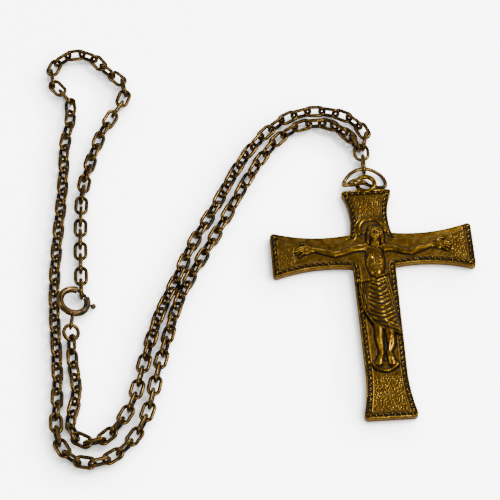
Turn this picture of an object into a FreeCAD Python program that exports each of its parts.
"""Pectoral crucifix on a cable chain, closed by a spring ring clasp, laid out on a table.

Frame, in millimetres: the cross lies on its back on the plane z = 0, its face up (+Z) and
its head towards +Y. The origin is on the back of the cross, where the centre lines of the
upright and the arms meet.
"""

import FreeCAD, Part
import math
import os

from FreeCAD import Matrix, Placement, Rotation, Vector

# ---- cross ----
cross_span = 71.2            # tip to tip of the arms
height_above = 25.5          # centre of the arms to the top edge
height_below = 67.3          # centre of the arms to the bottom edge
plate_thickness = 2.8
end_half_width = 9.5         # half width of all four flared ends
crossing_half_x = 7.5        # half width of the upright at the crossing
crossing_half_y = 6.75       # half height of the arms at the crossing
top_neck = (6.7, 13.0)       # narrowest half width of the upper arm, and where it is
side_neck = (6.1, 18.5)      # the same for the side arms
foot_neck = (7.15, 50.0)     # the same for the lower arm, where its flare begins
foot_bulge = (7.75, 58.5)    # half width part of the way along that flare
corner_radius = 1.8
border_width = 2.5           # plain rim, ornament and inner ridge together
panel_depth = 0.45           # how far the panel lies below the border

# ---- figure in relief ----
relief_sink = 0.9            # how deep the forms of the figure sit in the plate
head_centre = (0.9, 7.2)
head_radii = (2.6, 3.4, 2.0)
halo_radius = 5.9
halo_wire = 1.0
hand_reach = 26.0
hand_radius = 1.3
forearm_radius = 0.95
shoulder_half = 4.6
torso_radii = (4.3, 10.5, 2.0)
torso_centre_y = -5.5
drape_radii = (5.2, 13.5, 2.2)
drape_centre_y = -22.5
leg_half_gap = 1.6
leg_radii = (1.5, 9.5, 1.6)
leg_centre_y = -40.0
foot_rest_y = -49.0
foot_rest_half = 4.3

# ---- eyelet on the top edge ----
eyelet_bore = 4.6
eyelet_wire = 1.7
eyelet_side = 0.3            # its centre, off the middle of the upright
eyelet_rise = 0.4            # its bore starts this far above the top edge
eyelet_foot = 2.2            # length of the two short stubs that tie it to the edge
eyelet_height = 2.35         # height of its wire above the table

# ---- bail ring through the eyelet ----
bail_wire = 1.4
bail_front = 2.9             # the ring swells to this where it crosses the eyelet's side
bail_clearance = 0.2
bail_steps = 2               # straight bars between two stations of its bent line

# ---- cable chain ----
link_wire = 1.35
link_length = 8.2
link_width = 5.1
link_slack = 0.12            # least free play between two links
rest_gap = 0.03              # links lie this far above the table
links_per_node = 4

# ---- connecting link between the bail ring and the two strands ----
neck_wire = 1.25
neck_length = 7.8
neck_play = 0.3
strand_spread = 0.4          # the strands' first links stand this much further apart

# ---- spring ring clasp ----
clasp_ring = 9.6             # diameter of the tube's centre line
clasp_tube = 2.4
clasp_bore = 1.55
clasp_centre = (-105.1, -14.9, 3.5)
clasp_tilt = 18.0            # its left side leans on the strand beside it
gate_start = 21.0            # the opening, in degrees round the ring from +X
gate_end = 74.0
gate_travel = 56.0           # how far the bolt slides
hook_angle = 55.0            # where the chain's last link hangs on the bolt
gate_overlap = 4.0           # how far the bolt's tip enters its socket
bolt_wire = 1.15
bolt_tail = -32.0
knob_angle = -10.0
knob_diameter = 2.0
knob_stem = 0.7
slot_play = 0.15             # room on both sides of the stem
slot_spare = 6.0             # degrees of slot beyond the stem at both ends of its travel
knob_reach = 2.2             # centre of the knob beyond the middle of the tube
bore_end = -126.0
spring_wall = 0.2
spring_play = 0.1            # between the spring and the bore
end_spare = 3.0              # degrees of socket beyond the bolt's tip
end_gap = 1.0                # degrees between the spring and what it bears on
loop_angle = -97.0
loop_wire = 0.9
loop_length = 6.5
loop_play = 0.3
loop_sink = 0.9              # how far the loop is let into the tube
round_ring_wire = 1.4
round_ring_size = 6.6
round_ring_tilt = 20.0       # its clasp side is held up by the fixed loop
ring_roll = -62.0            # roll of the chain's links where they meet the round ring
round_ring_lean = 22.0       # its left side leans up against the strand beside it


def vec(x, y, z=0.0):
    return Vector(x, y, z)


def save(node, solids):
    """Write one node; several separate solids make one compound."""
    solids = solids if isinstance(solids, list) else [solids]
    for solid in solids:
        if not solid.isValid() or solid.Volume <= 0:
            raise RuntimeError("bad solid in " + node)
    shape = solids[0] if len(solids) == 1 else Part.makeCompound(solids)
    shape.exportStep("parts/" + node + ".step")
    print(node, len(solids), "solid(s)", round(shape.Volume, 2), "mm3")


def ellipsoid(centre, radii):
    ball = Part.makeSphere(1.0)
    grow = Matrix()
    grow.scale(*radii)
    shape = ball.transformGeometry(grow)
    shape.translate(vec(*centre))
    return shape


def rod(a, b, radius_a, radius_b):
    """A tapered round bar with ball ends."""
    bar = Part.makeCone(radius_a, radius_b, (b - a).Length, a, b - a)
    return bar.fuse([Part.makeSphere(radius_a, a), Part.makeSphere(radius_b, b)])


# ---- cross casting ----
def arm_side(start, neck, end):
    return Part.Arc(start, neck, end).toShape()


def cross_outline():
    """The outline as one wire: each arm flares to a straight end."""
    half = cross_span / 2
    e, cx, cy = end_half_width, crossing_half_x, crossing_half_y
    nt, ns, nf, bf = top_neck, side_neck, foot_neck, foot_bulge
    edges = []
    for s in (1, -1):
        edges += [
            arm_side(vec(s * cx, cy), vec(s * nt[0], nt[1]), vec(s * e, height_above)),
            arm_side(vec(s * cx, cy), vec(s * ns[1], ns[0]), vec(s * half, e)),
            Part.makeLine(vec(s * half, e), vec(s * half, -e)),
            arm_side(vec(s * half, -e), vec(s * ns[1], -ns[0]), vec(s * cx, -cy)),
            Part.makeLine(vec(s * cx, -cy), vec(s * nf[0], -nf[1])),
            arm_side(vec(s * nf[0], -nf[1]), vec(s * bf[0], -bf[1]),
                     vec(s * e, -height_below)),
        ]
    edges.append(Part.makeLine(vec(-e, height_above), vec(e, height_above)))
    edges.append(Part.makeLine(vec(-e, -height_below), vec(e, -height_below)))
    return Part.Wire(Part.__sortEdges__(edges))


def end_corners(solid):
    """The upright edges at the tips of the flared ends."""
    half = cross_span / 2
    found = []
    for edge in solid.Edges:
        box = edge.BoundBox
        upright = box.ZLength > plate_thickness * 0.9 and box.XLength < 0.01
        tip_x = abs(abs(box.Center.x) - half) < 0.01
        tip_y = min(abs(box.Center.y - height_above), abs(box.Center.y + height_below)) < 0.01
        if upright and (tip_x or tip_y):
            found.append(edge)
    return found


def eyelet_centre():
    return vec(eyelet_side, height_above + eyelet_bore / 2 + eyelet_rise, eyelet_height)


def make_cross():
    outline = cross_outline()
    plate = Part.Face(outline).extrude(vec(0, 0, plate_thickness))
    plate = plate.makeFillet(corner_radius, end_corners(plate))
    panel = Part.Face(outline.makeOffset2D(-border_width))
    sunk = panel.extrude(vec(0, 0, plate_thickness))
    sunk.translate(vec(0, 0, plate_thickness - panel_depth))
    plate = plate.cut(sunk)
    # eyelet: a full ring let into the top edge
    eye = Part.makeTorus((eyelet_bore + eyelet_wire) / 2, eyelet_wire / 2,
                         eyelet_centre(), vec(0, 0, 1))
    reach = (eyelet_bore + eyelet_wire) / 2
    feet = [Part.makeCylinder(eyelet_wire / 2, eyelet_foot,
                              eyelet_centre() + vec(side * reach, -reach - eyelet_wire / 2),
                              vec(0, 1, 0)) for side in (-1, 1)]
    back = Part.makeBox(cross_span, height_above + height_below, plate_thickness * 1.5,
                        vec(-cross_span / 2, -height_below, -plate_thickness))
    forms = [form.cut(back) for form in figure_forms()]
    return plate.fuse([eye] + feet + forms)


def figure_forms():
    """The figure as plain rounded forms standing out of the panel."""
    floor = plate_thickness - panel_depth
    z = floor + 0.1
    hx, hy = head_centre
    halo = Part.makeTorus(halo_radius, halo_wire / 2, vec(hx, hy, floor), vec(0, 0, 1))
    forms = [
        ellipsoid((hx, hy, z), head_radii),
        halo,
        ellipsoid((0.3, torso_centre_y, z - relief_sink / 2), torso_radii),
        ellipsoid((0.3, drape_centre_y, z - relief_sink / 2), drape_radii),
    ]
    for s in (-1, 1):
        shoulder = vec(0.3 + s * shoulder_half, 0.6, z)
        elbow = vec(s * 15.0, -1.6, z)
        wrist = vec(s * (hand_reach - 3.0), 0.6, z)
        forms += [
            rod(shoulder, elbow, forearm_radius * 1.3, forearm_radius),
            rod(elbow, wrist, forearm_radius, forearm_radius * 0.8),
            ellipsoid((s * hand_reach, 0.4, z), (hand_radius * 2, hand_radius, 0.9)),
            ellipsoid((0.3 + s * leg_half_gap, leg_centre_y, z - 0.4), leg_radii),
        ]
    rest = Part.makeCylinder(foot_rest_half, 0.9, vec(0.3, foot_rest_y + 1.6, floor - 0.1))
    bite = Part.makeCylinder(foot_rest_half * 1.15, 2.0, vec(0.3, foot_rest_y + 3.2, floor - 0.5))
    forms.append(rest.cut(bite))
    return forms


# ---- bail ring: a bent ring whose wire swells at the front ----
def bail_rear():
    """Middle of the wire at the rear of the ring, clear of the eyelet by one link's wire."""
    eye = eyelet_centre()
    edge = eye.y + eyelet_bore / 2 + eyelet_wire
    return vec(0.6, edge + link_wire + bail_wire / 2 + 2 * bail_clearance, lie_height(0))


def bail_stations():
    """Centre line points and wire radii, from the rear of the ring round by the left."""
    eye = eyelet_centre()
    side = (eyelet_bore + eyelet_wire) / 2
    rear = bail_rear()
    low = bail_wire / 2 + rest_gap
    over = eyelet_height + eyelet_wire / 2 + bail_front / 2 + bail_clearance
    thin, thick = bail_wire / 2, bail_front / 2
    return [
        (rear, thin),
        (vec(-3.4, rear.y - 0.7, rear.z - 0.2), thin),
        (vec(-6.6, eye.y + 3.0, rear.z - 0.9), thin),
        (vec(-7.6, eye.y + 0.4, low + 1.2), thin),
        (vec(-6.2, eye.y - 0.6, over - 1.3), thin * 1.3),
        (vec(-4.7, eye.y - 0.8, over - 0.3), thick * 0.95),
        (vec(eye.x - side, eye.y - 0.6, over), thick),
        (vec(-0.9, eye.y - 0.1, over - 1.1), thick * 0.8),
        (vec(0.9, eye.y + 0.1, eyelet_height - 0.4), thin),
        (vec(2.9, eye.y - 0.1, low), thin),
        (vec(5.2, eye.y - 0.7, low), thin),
        (vec(7.2, eye.y - 0.4, low), thin),
        (vec(7.4, eye.y + 2.0, low + 0.1), thin),
        (vec(4.8, rear.y - 1.4, low + 0.9), thin),
    ]


def make_bail_ring():
    """Short tapered bars with ball joints along the smooth line through the stations."""
    stations = bail_stations()
    curve = Part.BSplineCurve()
    curve.interpolate([p for p, _ in stations], PeriodicFlag=True)
    spots = [curve.parameter(p) for p, _ in stations] + [curve.LastParameter]
    beads = []
    for n, (_, radius) in enumerate(stations):
        following = stations[(n + 1) % len(stations)][1]
        for k in range(bail_steps):
            share = k / bail_steps
            t = spots[n] + (spots[n + 1] - spots[n]) * share
            beads.append((curve.value(t), radius + (following - radius) * share))
    bars = []
    for (a, radius_a), (b, radius_b) in zip(beads, beads[1:] + beads[:1]):
        bars.append(Part.makeSphere(radius_a, a))
        if abs(radius_a - radius_b) < 1e-4:
            bars.append(Part.makeCylinder(radius_a, (b - a).Length, a, b - a))
        else:
            bars.append(Part.makeCone(radius_a, radius_b, (b - a).Length, a, b - a))
    return bars[0].fuse(bars[1:])


# ---- chain ----
def oval(length, width, wire):
    """A link lying flat at the origin, its long way along X: two half rings and two bars."""
    r = wire / 2
    bend = (width - wire) / 2
    straight = (length - width) / 2
    parts = []
    for s in (-1, 1):
        end = Part.makeTorus(bend, r, vec(s * straight, 0, 0), vec(0, 0, 1), -180, 180, 180)
        end.rotate(vec(s * straight, 0, 0), vec(0, 0, 1), -90 * s)
        parts.append(end)
        parts.append(Part.makeCylinder(r, 2 * straight, vec(-straight, s * bend, 0), vec(1, 0, 0)))
    return parts[0].fuse(parts[1:]).removeSplitter()


def turned(shape, centre, along, roll):
    """A copy of a flat shape moved to centre, its X axis along the way given, rolled about it."""
    along = vec(along.x, along.y, along.z).normalize()
    side = vec(0, 0, 1).cross(along).normalize()
    up = along.cross(side)
    frame = Matrix(along.x, side.x, up.x, centre.x,
                   along.y, side.y, up.y, centre.y,
                   along.z, side.z, up.z, centre.z,
                   0, 0, 0, 1)
    place = Placement(frame).multiply(Placement(vec(0, 0, 0), Rotation(vec(1, 0, 0), roll)))
    copy = shape.copy()
    copy.Placement = place
    return copy


def longest_pitch():
    """Longest step from pivot to pivot: a link's inside less the neighbour's wire and the play."""
    return link_length - 2 * link_wire - link_slack


def lie_height(roll):
    """Height of the chain's middle when links are rolled by this angle and a quarter turn more."""
    a = math.radians(roll)
    spread = max(abs(math.sin(a)), abs(math.cos(a)))
    return (link_width - link_wire) / 2 * spread + link_wire / 2 + rest_gap


# Each strand as points along its middle: (x, y, roll of its links, fold it passes through).
# The rolls are in degrees from flat; every second link is a quarter turn further on.
OUTER = [
    (2.2, 49.8, 0, ""),
    (-1.6, 56.4, 0, ""),
    (-12.6, 61.4, 0, "arch"),
    (-20.5, 61.2, 0, ""),
    (-30.0, 56.4, 0, ""),
    (-38.9, 47.4, 15, "crown"),
    (-48.0, 33.4, 25, ""),
    (-55.8, 19.1, 45, "upper"),
    (-63.2, 6.5, 45, ""),
    (-69.5, -7.8, 45, "middle"),
    (-75.5, -20.4, 30, ""),
    (-79.8, -33.3, 20, "lower"),
    (-82.7, -43.0, 0, ""),
    (-86.0, -54.4, 0, ""),
    (-93.6, -66.4, 0, "bend"),
    (-100.0, -70.2, -10, ""),
    (-106.0, -67.6, -30, ""),
    (-107.5, -61.2, -45, ""),
    (-105.7, -54.2, -45, ""),
    (-105.2, -47.4, -45, ""),
    (-106.2, -39.6, -45, "column"),
]
INNER = [
    (-3.5, 49.2, 0, ""),
    (-12.6, 56.0, 0, "arch"),
    (-20.4, 55.6, 0, ""),
    (-28.6, 50.8, 0, ""),
    (-34.6, 44.0, 15, "crown"),
    (-43.2, 30.6, 25, ""),
    (-51.0, 16.5, 45, "upper"),
    (-57.7, 4.9, 45, ""),
    (-63.6, -5.5, 45, "middle"),
    (-69.6, -18.4, 30, ""),
    (-73.8, -32.2, 20, "lower"),
    (-77.8, -45.7, 0, ""),
    (-81.0, -58.4, 0, ""),
    (-85.6, -68.0, 0, ""),
    (-91.6, -74.4, 0, "bend"),
    (-100.3, -77.9, 0, ""),
    (-108.6, -74.6, 0, ""),
    (-112.2, -66.0, 15, ""),
    (-111.9, -54.0, 35, ""),
    (-111.5, -39.6, 45, "column"),
    (-112.0, -15.0, 45, ""),
    (-110.6, 8.9, 45, "clasp"),
    (-108.4, 30.0, 45, ""),
    (-107.2, 46.6, 45, "top"),
]
# From the clasp up the right-hand column, round the top and back down to the inner strand.
RETURN = [
    (-102.3, 8.9, 0, "clasp"),
    (-101.7, 23.0, 5, ""),
    (-100.3, 35.0, 25, ""),
    (-97.1, 46.6, 45, "top"),
    (-91.6, 60.6, 45, ""),
    (-87.2, 67.4, 20, ""),
    (-84.0, 74.4, 0, ""),
    (-85.9, 81.0, 0, ""),
    (-91.2, 85.9, 0, ""),
    (-94.7, 91.2, 0, ""),
    (-100.7, 93.8, 0, ""),
    (-107.6, 91.5, 0, ""),
    (-110.8, 86.0, 0, ""),
    (-108.9, 78.1, 0, ""),
    (-105.3, 74.1, 20, ""),
    (-104.2, 66.4, 45, ""),
    (-107.2, 46.6, 45, "top"),
]


def stretches(points):
    """Pivots of each stretch between two folds, as (first fold, pivots with rolls)."""
    route = [vec(x, y) for x, y, _, _ in points]
    curve = Part.BSplineCurve()
    curve.interpolate(route)
    spots = [curve.parameter(p) for p in route]
    marks = [i for i, p in enumerate(points) if p[3]]
    found = []
    for a, b in zip(marks, marks[1:]):
        reach = curve.length(spots[a], spots[b])
        count = math.ceil(reach / longest_pitch())
        pivots = []
        for n in range(count + 1):
            t = curve.parameterAtDistance(reach * n / count, spots[a]) if n else spots[a]
            k = max(a, max(i for i in range(a, b) if spots[i] <= t + 1e-9))
            share = min(1.0, (t - spots[k]) / (spots[k + 1] - spots[k]))
            roll = points[k][2] + (points[k + 1][2] - points[k][2]) * share
            pivots.append((curve.value(t) + vec(0, 0, lie_height(roll)), roll))
        found.append((points[a][3], pivots))
    return found


def lay_links(pivots, done):
    """The links between these pivots; done counts the links laid before them."""
    flat = oval(link_length, link_width, link_wire)
    links = []
    for n, ((a, roll_a), (b, roll_b)) in enumerate(zip(pivots, pivots[1:])):
        roll = (roll_a + roll_b) / 2 + 90 * ((done + n) % 2)
        links.append(turned(flat, (a + b) * 0.5, b - a, roll))
    return links


def save_run(name, links):
    """Share the links of one run out over nodes of a few links each."""
    nodes = math.ceil(len(links) / links_per_node)
    for n in range(nodes):
        first = len(links) * n // nodes
        last = len(links) * (n + 1) // nodes
        save(name + "_" + str(n + 1), links[first:last])


def make_strand(name, points, done):
    for fold, pivots in stretches(points):
        links = lay_links(pivots, done)
        done += len(links)
        save_run("chain_" + name + "_" + fold, links)
    return done


# ---- neck: one standing link on the bail ring, then a wide one for both strands ----
def touching(wire_a, wire_b):
    """Distance between the middles of two hooked wires."""
    return (wire_a + wire_b) / 2 + link_slack / 2


def neck_middle():
    """Middle of the wide link."""
    rear = bail_rear()
    first = rear.y - touching(bail_wire, link_wire) + link_length - link_wire
    start = first - touching(link_wire, neck_wire) - link_slack / 2
    return vec(0, start + (neck_length - neck_wire) / 2, rear.z)


def neck_bend():
    """Radius of the wide link's round ends, for two standing links side by side."""
    return link_wire + 1.5 * neck_play + neck_wire / 2


def make_neck():
    rear = bail_rear()
    half = (link_length - link_wire) / 2
    lower = vec(rear.x / 2, rear.y - touching(bail_wire, link_wire) + half, rear.z)
    save("neck_link", turned(oval(link_length, link_width, link_wire), lower, vec(0, 1, 0), 90))
    wide = oval(neck_length, 2 * neck_bend() + neck_wire, neck_wire)
    save("strand_joining_link", turned(wide, neck_middle(), vec(0, 1, 0), 0))


def strand_foot(side):
    """First pivot of a strand, side by side with the other one in the wide link."""
    out = (link_wire + neck_play + strand_spread) / 2
    fall = neck_bend() - math.sqrt(neck_bend() ** 2 - out ** 2)
    end = neck_middle().y + (neck_length - neck_wire) / 2 - fall
    past = (link_length - link_wire - longest_pitch()) / 2
    return (side * out, end - touching(link_wire, neck_wire) + past, 0, "foot")


# ---- spring ring clasp, made flat round the origin and then laid on the chain ----
def clasp_place():
    return Placement(vec(*clasp_centre), Rotation(vec(0, 1, 0), clasp_tilt))


def on_ring(angle, radius=clasp_ring / 2, z=0.0):
    a = math.radians(angle)
    return vec(radius * math.cos(a), radius * math.sin(a), z)


def ring_bar(wire, start, end):
    """A round bar bent along the ring's centre line from one angle to another."""
    face = Part.Face(Part.Wire(Part.makeCircle(wire / 2, on_ring(start), on_ring(start + 90))))
    return face.revolve(vec(0, 0, 0), vec(0, 0, 1), end - start)


def lay_clasp(shape):
    copy = shape.copy()
    copy.Placement = clasp_place().multiply(copy.Placement)
    return copy


def slot_cut(start, end):
    """The slot that the stem of the knob slides in, from one angle to another."""
    half = knob_stem / 2 + slot_play
    inner = clasp_ring / 2
    outer = inner + clasp_tube
    corners = [(inner, -half), (outer, -half), (outer, half), (inner, half), (inner, -half)]
    face = Part.Face(Part.makePolygon([on_ring(start, r, z) for r, z in corners]))
    return face.revolve(vec(0, 0, 0), vec(0, 0, 1), end - start)


def make_clasp():
    tube = ring_bar(clasp_tube, gate_end, gate_start + 360)
    bore = ring_bar(clasp_bore, gate_start, bore_end)
    socket = ring_bar(clasp_bore, gate_end, gate_end + gate_overlap + end_spare)
    slot = slot_cut(knob_angle + slot_spare, knob_angle - gate_travel - slot_spare)
    body = tube.cut([bore, socket, slot])
    save("clasp_tube", lay_clasp(body))
    tip = gate_end + gate_overlap
    bolt = ring_bar(bolt_wire, bolt_tail, tip)
    stem_start = on_ring(knob_angle)
    stem = Part.makeCylinder(knob_stem / 2, knob_reach, stem_start, on_ring(knob_angle))
    knob = Part.makeSphere(knob_diameter / 2, on_ring(knob_angle, clasp_ring / 2 + knob_reach))
    save("clasp_bolt", lay_clasp(bolt.fuse([stem])))
    save("clasp_thumb_knob", lay_clasp(knob.cut(stem)))
    outer = clasp_bore - 2 * spring_play
    sleeve = ring_bar(outer, bolt_tail - end_gap, bore_end + end_gap)
    core = ring_bar(outer - 2 * spring_wall, bolt_tail - end_gap, bore_end + end_gap)
    save("clasp_spring", lay_clasp(sleeve.cut(core)))


def make_fixed_loop():
    width = round_ring_wire + 2 * loop_wire + 2 * loop_play
    loop = oval(loop_length, width, loop_wire)
    reach = clasp_ring / 2 + clasp_tube / 2 + loop_length / 2 - loop_sink
    out = on_ring(loop_angle, reach)
    standing = turned(loop, out, on_ring(loop_angle), 90)
    tube = ring_bar(clasp_tube, gate_end, gate_start + 360)
    save("clasp_fixed_loop", lay_clasp(standing.cut(tube)))
    far = on_ring(loop_angle, reach + (loop_length - loop_wire) / 2)
    return clasp_place().multVec(far)


def make_round_ring(far):
    """The ring between the clasp's loop and the end of the outer strand; returns its low point."""
    radius = (round_ring_size - round_ring_wire) / 2
    slope = Rotation(vec(1, 0, 0), round_ring_tilt)
    reach = slope.multVec(vec(0, radius, 0))
    lean = Rotation(vec(0, 1, 0), round_ring_lean)
    centre = far + vec(0, touching(round_ring_wire, loop_wire) + link_slack / 2, 0) - reach
    ring = Part.makeTorus(radius, round_ring_wire / 2)
    ring.Placement = Placement(centre, slope.multiply(lean))
    save("clasp_jump_ring", ring)
    return centre - reach


def hang_links(name, start, hooked, rolls, done):
    """Links in line from a fold's pivot to a wire that the last one hooks round."""
    half = (link_length - link_wire) / 2
    way = hooked - start
    count = math.ceil((way.Length - half) / longest_pitch() + 0.5)
    pitch = (way.Length - half) / (count - 0.5)
    way.normalize()
    first, last = rolls
    pivots = [(start + way * (pitch * n), first + (last - first) * n / count)
              for n in range(count + 1)]
    save_run(name, lay_links(pivots, done))


def make_clasp_ends(ring_low, outer_links):
    """The links below the round ring and those between the clasp and the next fold."""
    x, y, roll, _ = OUTER[-1]
    hook = touching(round_ring_wire, link_wire)
    low = vec(ring_low.x, ring_low.y + hook, lie_height(ring_roll))
    hang_links("chain_outer_column", vec(x, y, lie_height(roll)), low, (roll, ring_roll),
               outer_links)
    x, y, roll, _ = RETURN[0]
    across = on_ring(hook_angle).x
    inside = (clasp_ring - bolt_wire - link_wire) / 2 - link_slack
    hooked = clasp_place().multVec(vec(across, math.sqrt(inside ** 2 - across ** 2)))
    low = vec(hooked.x, hooked.y, lie_height(roll))
    hang_links("chain_return_column", vec(x, y, lie_height(roll)), low, (roll, roll), 0)


def main():
    os.makedirs("parts", exist_ok=True)
    save("cross_casting", make_cross())
    save("bail_ring", make_bail_ring())
    make_neck()
    outer_links = make_strand("outer", [strand_foot(1)] + OUTER, 1)
    make_strand("inner", [strand_foot(-1)] + INNER, 1)
    make_strand("return", RETURN, 1)
    make_clasp()
    make_clasp_ends(make_round_ring(make_fixed_loop()), outer_links)


main()
